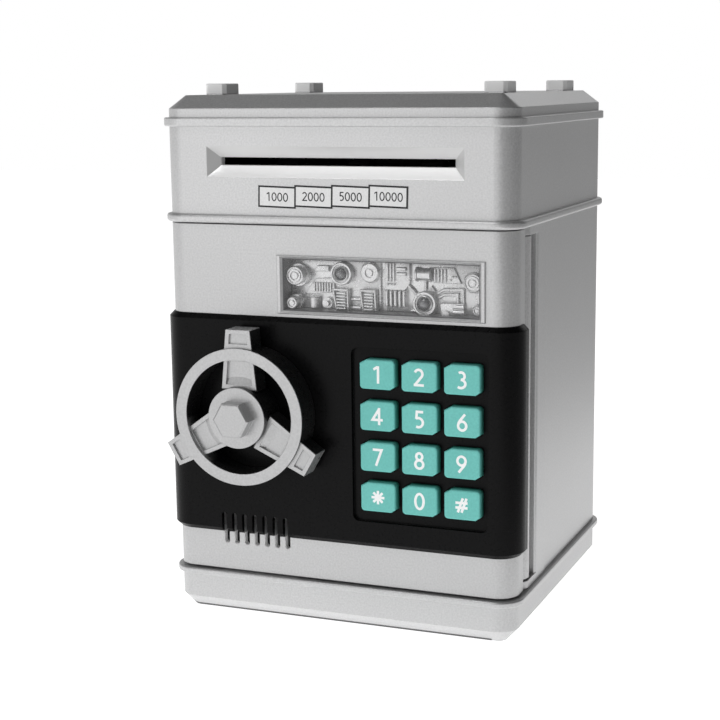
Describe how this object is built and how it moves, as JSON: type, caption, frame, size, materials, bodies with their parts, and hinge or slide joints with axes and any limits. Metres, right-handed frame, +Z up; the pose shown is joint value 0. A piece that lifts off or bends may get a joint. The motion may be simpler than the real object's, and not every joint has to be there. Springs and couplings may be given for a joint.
{
  "type": "toy savings bank",
  "caption": "Toy cash-machine money box: silver case, black door with hand wheel, keypad and display window, note slot with feed rollers, coin slot in the lid, lockable hinged door.",
  "frame": {"origin": "on the resting surface, under the middle of the case", "axes": "+Z up, +X to the right seen from the front, -Y out of the door"},
  "size_m": [0.1358, 0.1419, 0.194],
  "materials": {
    "silver_paint": "metallic silver paint with fine grain on moulded plastic",
    "black_plastic": "satin black moulded plastic",
    "wheel_silver": "silver paint on the front faces, black sides",
    "key_teal": "satin turquoise",
    "chromed_plastic": "bright vacuum-metallised plastic",
    "clear_plastic": "clear polished plastic",
    "smoked_lamp": "dark polished dome",
    "steel": "zinc-plated steel",
    "soft_rubber": "matt rubber",
    "circuit_board": "green solder mask",
    "cell_case": "dark printed sleeve with bright ends",
    "print_label": null,
    "gear_nylon": "natural nylon"
  },
  "bodies": {
    "cabinet": {"base_tray": "silver_paint", "battery_cover": "black_plastic", "battery_contacts": "steel", "batteries": "cell_case", "battery_screw": "steel", "rubber_feet": "soft_rubber", "cash_floor": "black_plastic", "cabinet_shell": "silver_paint", "strike_plate": "steel", "upper_housing": "silver_paint", "denomination_label": "print_label", "top_cover": "silver_paint", "case_screws": "steel", "small_screws": "steel", "hinge_pin_lower": "steel", "hinge_pin_upper": "steel", "feeder_chassis": "black_plastic", "feed_motor": "steel", "note_sensor": "smoked_lamp", "coin_chute": "black_plastic", "main_board": "circuit_board"},
    "door": {"door_shell": "silver_paint", "door_fascia": "black_plastic", "door_inner_cover": "black_plastic", "door_screws": "steel", "window_frame": "silver_paint", "window_lens": "clear_plastic", "window_relief": "chromed_plastic", "window_leds": "smoked_lamp", "speaker": "soft_rubber", "keypad_mat": "soft_rubber", "keypad_board": "circuit_board", "bolt_guides": "black_plastic", "lock_solenoid": "steel"},
    "hand_wheel": {"wheel_body": "black_plastic", "wheel_face": "wheel_silver", "wheel_shaft": "steel", "shaft_clip": "steel", "lock_pinion": "gear_nylon"},
    "bolt": {"latch_bolt": "steel"},
    "plunger": {"lock_plunger": "steel"},
    "drive_roller": {"drive_shaft": "steel", "drive_rollers": "soft_rubber", "feed_gear": "gear_nylon"},
    "idler_roller": {"idler_shaft": "steel", "idler_rollers": "soft_rubber"},
    "motor_rotor": {"motor_pinion": "gear_nylon"},
    "key_1": {"key_1": "key_teal"},
    "key_2": {"key_2": "key_teal"},
    "key_3": {"key_3": "key_teal"},
    "key_4": {"key_4": "key_teal"},
    "key_5": {"key_5": "key_teal"},
    "key_6": {"key_6": "key_teal"},
    "key_7": {"key_7": "key_teal"},
    "key_8": {"key_8": "key_teal"},
    "key_9": {"key_9": "key_teal"},
    "key_star": {"key_star": "key_teal"},
    "key_0": {"key_0": "key_teal"},
    "key_hash": {"key_hash": "key_teal"}
  },
  "joints": [
    {"name": "door_hinge", "type": "hinge", "parent": "cabinet", "child": "door", "pos_m": [0.06, -0.041, 0.08], "axis": [0, 0, 1], "range_deg": [0, 95]},
    {"name": "wheel_turn", "type": "hinge", "parent": "door", "child": "hand_wheel", "pos_m": [-0.0315, -0.06, 0.0777], "axis": [0, 1, 0], "range_deg": [-90, 0]},
    {"name": "bolt_slide", "type": "slide", "parent": "door", "child": "bolt", "axis": [-1, 0, 0], "range_m": [0, 0.00754]},
    {"name": "plunger_slide", "type": "slide", "parent": "door", "child": "plunger", "axis": [0, 0, -1], "range_m": [0, 0.0022], "stiffness_N_per_m": 40, "springref_m": -0.001},
    {"name": "feed_roller_spin", "type": "hinge", "parent": "cabinet", "child": "drive_roller", "pos_m": [0, -0.032, 0.16165], "axis": [1, 0, 0], "continuous": true},
    {"name": "idler_spin", "type": "hinge", "parent": "cabinet", "child": "idler_roller", "pos_m": [0, -0.032, 0.17095], "axis": [1, 0, 0], "continuous": true},
    {"name": "motor_spin", "type": "hinge", "parent": "cabinet", "child": "motor_rotor", "pos_m": [0.05, -0.044, 0.15603], "axis": [1, 0, 0], "continuous": true},
    {"name": "press_key_1", "type": "slide", "parent": "door", "child": "key_1", "axis": [0, 1, 0], "range_m": [0, 0.0012], "stiffness_N_per_m": 250, "springref_m": -0.0004},
    {"name": "press_key_2", "type": "slide", "parent": "door", "child": "key_2", "axis": [0, 1, 0], "range_m": [0, 0.0012], "stiffness_N_per_m": 250, "springref_m": -0.0004},
    {"name": "press_key_3", "type": "slide", "parent": "door", "child": "key_3", "axis": [0, 1, 0], "range_m": [0, 0.0012], "stiffness_N_per_m": 250, "springref_m": -0.0004},
    {"name": "press_key_4", "type": "slide", "parent": "door", "child": "key_4", "axis": [0, 1, 0], "range_m": [0, 0.0012], "stiffness_N_per_m": 250, "springref_m": -0.0004},
    {"name": "press_key_5", "type": "slide", "parent": "door", "child": "key_5", "axis": [0, 1, 0], "range_m": [0, 0.0012], "stiffness_N_per_m": 250, "springref_m": -0.0004},
    {"name": "press_key_6", "type": "slide", "parent": "door", "child": "key_6", "axis": [0, 1, 0], "range_m": [0, 0.0012], "stiffness_N_per_m": 250, "springref_m": -0.0004},
    {"name": "press_key_7", "type": "slide", "parent": "door", "child": "key_7", "axis": [0, 1, 0], "range_m": [0, 0.0012], "stiffness_N_per_m": 250, "springref_m": -0.0004},
    {"name": "press_key_8", "type": "slide", "parent": "door", "child": "key_8", "axis": [0, 1, 0], "range_m": [0, 0.0012], "stiffness_N_per_m": 250, "springref_m": -0.0004},
    {"name": "press_key_9", "type": "slide", "parent": "door", "child": "key_9", "axis": [0, 1, 0], "range_m": [0, 0.0012], "stiffness_N_per_m": 250, "springref_m": -0.0004},
    {"name": "press_key_star", "type": "slide", "parent": "door", "child": "key_star", "axis": [0, 1, 0], "range_m": [0, 0.0012], "stiffness_N_per_m": 250, "springref_m": -0.0004},
    {"name": "press_key_0", "type": "slide", "parent": "door", "child": "key_0", "axis": [0, 1, 0], "range_m": [0, 0.0012], "stiffness_N_per_m": 250, "springref_m": -0.0004},
    {"name": "press_key_hash", "type": "slide", "parent": "door", "child": "key_hash", "axis": [0, 1, 0], "range_m": [0, 0.0012], "stiffness_N_per_m": 250, "springref_m": -0.0004}
  ],
  "couplings": [
    {"joint": "bolt_slide", "follows": "wheel_turn", "m_per_rad": -0.0048},
    {"joint": "idler_spin", "follows": "feed_roller_spin", "ratio": -1.25},
    {"joint": "motor_spin", "follows": "feed_roller_spin", "ratio": -2.3}
  ]
}
